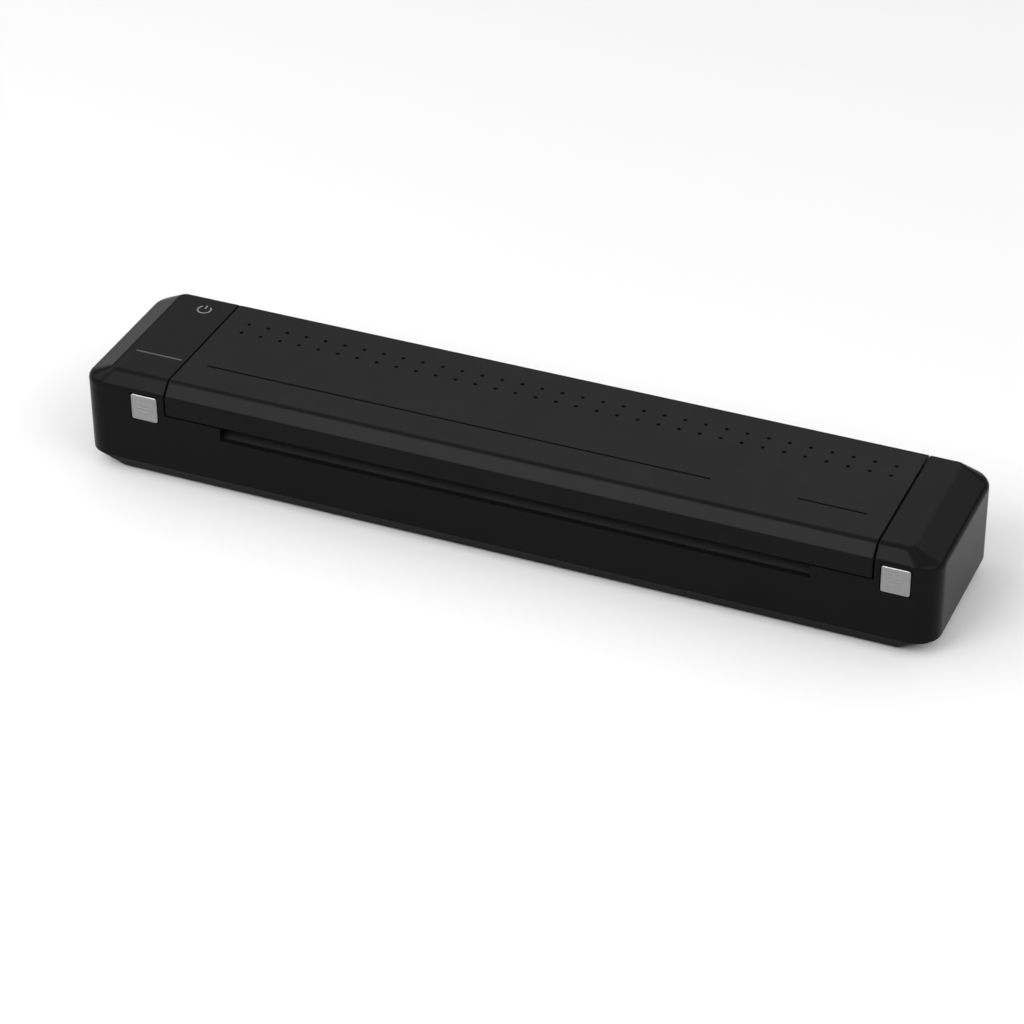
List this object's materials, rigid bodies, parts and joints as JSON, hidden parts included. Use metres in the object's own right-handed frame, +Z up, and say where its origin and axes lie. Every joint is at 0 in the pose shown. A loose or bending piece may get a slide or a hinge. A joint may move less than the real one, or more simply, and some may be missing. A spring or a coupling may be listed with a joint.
{
  "type": "portable thermal printer",
  "caption": "Bar-shaped portable printer with a hinged top cover, push buttons at both ends, a paper slot along the front, a roller and a print head.",
  "frame": {"origin": "on the table under the middle of the case", "axes": "+X along the length to the right, -Y to the front where the paper comes out, +Z up"},
  "size_m": [0.3114, 0.0635, 0.04],
  "materials": {
    "case_plastic": "satin black, very fine grain",
    "inner_plastic": "plain dark moulding",
    "silver_cap": "satin silver",
    "rubber": "dull black rubber",
    "steel": "plain bright steel",
    "bronze": "sintered bronze",
    "gear_plastic": "natural acetal",
    "circuit_board": "green solder mask",
    "chip_black": "moulded black packages",
    "socket_plastic": "ivory connector body",
    "ceramic": "glazed alumina with a fine heater line",
    "aluminium": "extruded, mill finish",
    "cell_wrap": "plastic sleeve",
    "ribbon": "flexible printed ribbon",
    "lead": "insulated wire",
    "light": "milky light guide"
  },
  "bodies": {
    "base": {"upper_housing": "case_plastic", "bottom_cover": "case_plastic", "rubber_feet": "rubber", "case_screws": "steel", "paper_deck": "inner_plastic", "deck_screws": "steel", "paper_sensor": "chip_black", "platen_bushes": "bronze", "stepper_motor": "steel", "motor_screws": "steel", "drive_plate": "steel", "idler_axle": "steel", "hinge_pins": "steel", "key_board": "circuit_board", "key_board_screws": "steel", "tact_switch": "chip_black", "status_led": "light", "light_guide": "light", "battery_cells": "cell_wrap", "main_board": "circuit_board", "board_screws": "steel", "board_parts": "chip_black", "ribbon_socket": "socket_plastic", "usb_socket": "steel", "head_ribbon": "ribbon", "battery_lead": "lead", "motor_lead": "lead", "left_latch_spring": "steel", "right_latch_spring": "steel"},
    "cover": {"top_cover": "case_plastic", "upper_guide": "inner_plastic", "guide_screws": "steel", "head_springs": "steel"},
    "print_head": {"heat_sink": "aluminium", "thermal_head": "ceramic", "head_board": "circuit_board", "driver_strip": "chip_black", "head_socket": "socket_plastic", "head_pivot_pins": "steel"},
    "platen": {"platen_rubber": "rubber", "platen_shaft": "steel", "platen_gear": "gear_plastic", "platen_clips": "steel"},
    "idler": {"idler_gear": "gear_plastic"},
    "rotor": {"motor_shaft": "steel", "motor_pinion": "gear_plastic"},
    "left_latch": {"left_push_button": "silver_cap", "left_latch_slide": "inner_plastic"},
    "right_latch": {"right_push_button": "silver_cap", "right_latch_slide": "inner_plastic"},
    "key": {"power_key": "case_plastic"}
  },
  "joints": [
    {"name": "cover_hinge", "type": "hinge", "parent": "base", "child": "cover", "pos_m": [0.00543, 0.0278, 0.0283], "axis": [-1, 0, 0], "range_deg": [0, 100], "deforming": ["head_springs"]},
    {"name": "head_pivot", "type": "hinge", "parent": "base", "child": "print_head", "pos_m": [0.00543, 0.005, 0.034], "axis": [-1, 0, 0], "range_deg": [0, 1], "stiffness_Nm_per_rad": 1, "springref_deg": -11.46, "deforming": ["head_springs"]},
    {"name": "platen_spin", "type": "hinge", "parent": "base", "child": "platen", "pos_m": [0.00543, -0.012, 0.019], "axis": [1, 0, 0], "continuous": true},
    {"name": "idler_spin", "type": "hinge", "parent": "base", "child": "idler", "pos_m": [0.1414, 0.00039, 0.0167], "axis": [1, 0, 0], "continuous": true},
    {"name": "motor_spin", "type": "hinge", "parent": "base", "child": "rotor", "pos_m": [0.1364, 0.014, 0.012], "axis": [1, 0, 0], "continuous": true},
    {"name": "left_latch_slide", "type": "slide", "parent": "base", "child": "left_latch", "axis": [0, 1, 0], "range_m": [0, 0.002], "stiffness_N_per_m": 500, "springref_m": -0.002, "deforming": ["left_latch_spring"]},
    {"name": "right_latch_slide", "type": "slide", "parent": "base", "child": "right_latch", "axis": [0, 1, 0], "range_m": [0, 0.002], "stiffness_N_per_m": 500, "springref_m": -0.002, "deforming": ["right_latch_spring"]},
    {"name": "power_key_press", "type": "slide", "parent": "base", "child": "key", "axis": [0, 0, -1], "range_m": [0, 0.0004], "stiffness_N_per_m": 800, "springref_m": -0.0005}
  ],
  "couplings": [
    {"joint": "idler_spin", "follows": "platen_spin", "ratio": -2},
    {"joint": "motor_spin", "follows": "platen_spin", "ratio": 4.8571}
  ]
}
